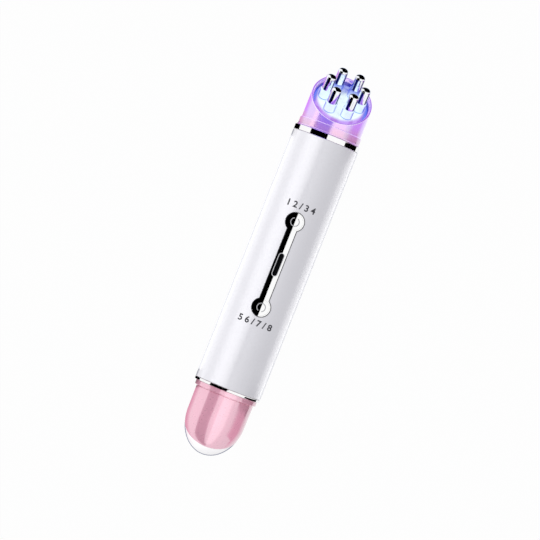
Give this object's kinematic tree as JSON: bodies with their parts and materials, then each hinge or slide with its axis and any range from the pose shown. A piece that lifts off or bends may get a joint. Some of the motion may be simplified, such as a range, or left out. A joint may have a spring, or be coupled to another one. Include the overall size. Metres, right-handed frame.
{
  "type": "microcurrent eye massager",
  "caption": "Slim round handle with a slanted cup of domed contact pins at one end, a slanted warm tip at the other, and a barbell control plate with push buttons",
  "frame": {"origin": "middle of the handle's length, on the flat that runs along the back of the handle", "axes": "+X along the handle towards the pins, +Z out of the front where the buttons are, Y across; the massager lies on its back"},
  "size_m": [0.1491, 0.025, 0.0251],
  "materials": {
    "pearl_shell": "pearl white, softly polished",
    "bright_trim": "mirror plated",
    "pin_chrome": "mirror plated",
    "head_pink": "translucent pink to violet, polished",
    "clear_floor": "clear, lit from below",
    "smoke_window": "dark smoked, polished",
    "foot_pink": "pink, polished",
    "milky_tip": "milky white, polished",
    "white_nylon": "moulded",
    "board_green": "solder mask",
    "black_resin": "moulded",
    "steel": "drawn",
    "brass": "turned",
    "aluminium": "satin",
    "ferrite": "pressed, dull",
    "cell_wrap": "shrink-wrapped can",
    "silicone": "matt",
    "lamp_white": "clear lens",
    "amber_film": "film",
    "lead_red": "insulated",
    "lead_black": "insulated"
  },
  "bodies": {
    "handle": {"handle_shell": "pearl_shell", "head_ring": "bright_trim", "foot_ring": "bright_trim", "control_plate": "bright_trim", "light_window": "smoke_window", "inner_frame": "white_nylon", "main_board": "board_green", "board_screw_1": "steel", "board_screw_2": "steel", "board_screw_3": "steel", "board_screw_4": "steel", "controller_chip": "black_resin", "boost_coil": "ferrite", "capacitor": "aluminium", "indicator_lamp": "lamp_white", "upper_switch": "black_resin", "lower_switch": "black_resin", "battery_cell": "cell_wrap", "battery_lead_positive": "lead_red", "battery_lead_negative": "lead_black", "charging_socket": "steel", "socket_board": "board_green", "vibration_motor": "steel", "head_sleeve": "head_pink", "head_seal": "silicone", "electrode_plate": "clear_floor", "electrode_1": "pin_chrome", "electrode_2": "pin_chrome", "electrode_3": "pin_chrome", "electrode_4": "pin_chrome", "electrode_5": "pin_chrome", "electrode_6": "pin_chrome", "electrode_nut_1": "brass", "electrode_nut_2": "brass", "electrode_nut_3": "brass", "electrode_nut_4": "brass", "electrode_nut_5": "brass", "electrode_nut_6": "brass", "lamp_board": "board_green", "lamp_1": "lamp_white", "lamp_2": "lamp_white", "lamp_3": "lamp_white", "head_ribbon": "amber_film", "foot_sleeve": "foot_pink", "foot_seal": "silicone", "warm_tip": "milky_tip", "heater_plate": "aluminium", "thermistor": "amber_film", "foot_ribbon": "amber_film"},
    "upper_button": {"upper_button": "bright_trim", "upper_switch_stem": "white_nylon"},
    "lower_button": {"lower_button": "bright_trim", "lower_switch_stem": "white_nylon"},
    "motor_rotor": {"motor_shaft": "steel", "eccentric_weight": "brass"}
  },
  "joints": [
    {"name": "upper_button_press", "type": "slide", "parent": "handle", "child": "upper_button", "axis": [0, 0, -1], "range_m": [0, 0.0004], "stiffness_N_per_m": 2500, "springref_m": -0.0001},
    {"name": "lower_button_press", "type": "slide", "parent": "handle", "child": "lower_button", "axis": [0, 0, -1], "range_m": [0, 0.0004], "stiffness_N_per_m": 2500, "springref_m": -0.0001},
    {"name": "motor_spin", "type": "hinge", "parent": "handle", "child": "motor_rotor", "pos_m": [0.036, 0, 0.0064], "axis": [1, 0, 0], "continuous": true}
  ]
}
